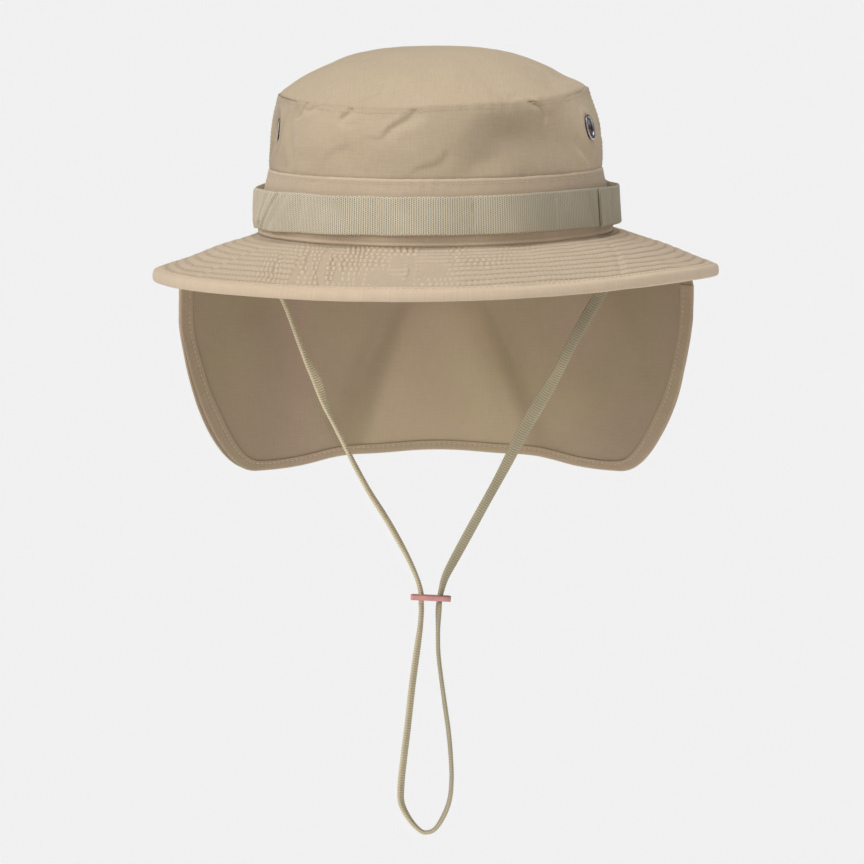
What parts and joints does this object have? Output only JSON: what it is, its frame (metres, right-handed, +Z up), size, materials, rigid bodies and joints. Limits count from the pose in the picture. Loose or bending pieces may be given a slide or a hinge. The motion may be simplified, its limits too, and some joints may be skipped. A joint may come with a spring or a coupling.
{
  "type": "boonie hat",
  "caption": "Wide-brimmed cloth sun hat with a webbing band tacked round the crown, side vents, a hanging neck flap, and a chin cord that passes through a leather slider.",
  "frame": {"origin": "centre of the head opening, in the plane of the seam that joins the crown to the brim", "axes": "+Z up through the crown, -Y out of the front of the hat, +X to the right of someone who faces the hat"},
  "size_m": [0.2934, 0.3164, 0.4097],
  "materials": {
    "khaki_ripstop": "matt khaki ripstop cotton, faint grid",
    "khaki_tape": "matt khaki cotton tape",
    "interlining": "stiff undyed interlining",
    "webbing": "plain-woven webbing, greenish beige",
    "nickel": "nickel-plated eyelet, bright rim",
    "cord": "flat woven cord, olive khaki",
    "slider_leather": "undyed leather with a pink cast"
  },
  "bodies": {
    "hat": {"crown_tip": "khaki_ripstop", "crown_side_front": "khaki_ripstop", "crown_side_back": "khaki_ripstop", "crown_lower_band": "khaki_ripstop", "sweatband": "khaki_tape", "eyelet_left_front": "nickel", "eyelet_left_rear": "nickel", "eyelet_right_front": "nickel", "eyelet_right_rear": "nickel", "eyelet_washer_left_front": "nickel", "eyelet_washer_left_rear": "nickel", "eyelet_washer_right_front": "nickel", "eyelet_washer_right_rear": "nickel", "brim_upper": "khaki_ripstop", "brim_interlining": "interlining", "brim_lower": "khaki_ripstop", "brim_edge_binding": "khaki_ripstop", "webbing_front": "webbing", "webbing_back": "webbing", "bar_tack_01": "webbing", "bar_tack_02": "webbing", "bar_tack_03": "webbing", "bar_tack_04": "webbing", "bar_tack_05": "webbing", "bar_tack_06": "webbing", "bar_tack_07": "webbing", "bar_tack_08": "webbing", "bar_tack_09": "webbing", "bar_tack_10": "webbing", "bar_tack_11": "webbing", "bar_tack_12": "webbing", "neck_flap_tape": "khaki_tape", "cord_anchor_left": "cord", "cord_anchor_right": "cord"},
    "neck_flap": {"neck_flap": "khaki_ripstop", "neck_flap_hem": "khaki_ripstop"},
    "chin_cord": {"chin_cord": "cord"},
    "cord_slider": {"cord_slider": "slider_leather"}
  },
  "joints": [
    {"name": "neck_flap_swing", "type": "hinge", "parent": "hat", "child": "neck_flap", "pos_m": [0, 0.02, -0.022], "axis": [-1, 0, 0], "range_deg": [0, 14], "stiffness_Nm_per_rad": 0.12, "springref_deg": -20.05},
    {"name": "chin_cord_swing", "type": "hinge", "parent": "hat", "child": "chin_cord", "pos_m": [0, 0, -0.0086], "axis": [1, 0, 0], "range_deg": [-75, 25]},
    {"name": "cord_slider_slide", "type": "slide", "parent": "chin_cord", "child": "cord_slider", "axis": [0, 0, 1], "range_m": [-0.095, 0.1], "deforming": ["chin_cord"]}
  ]
}
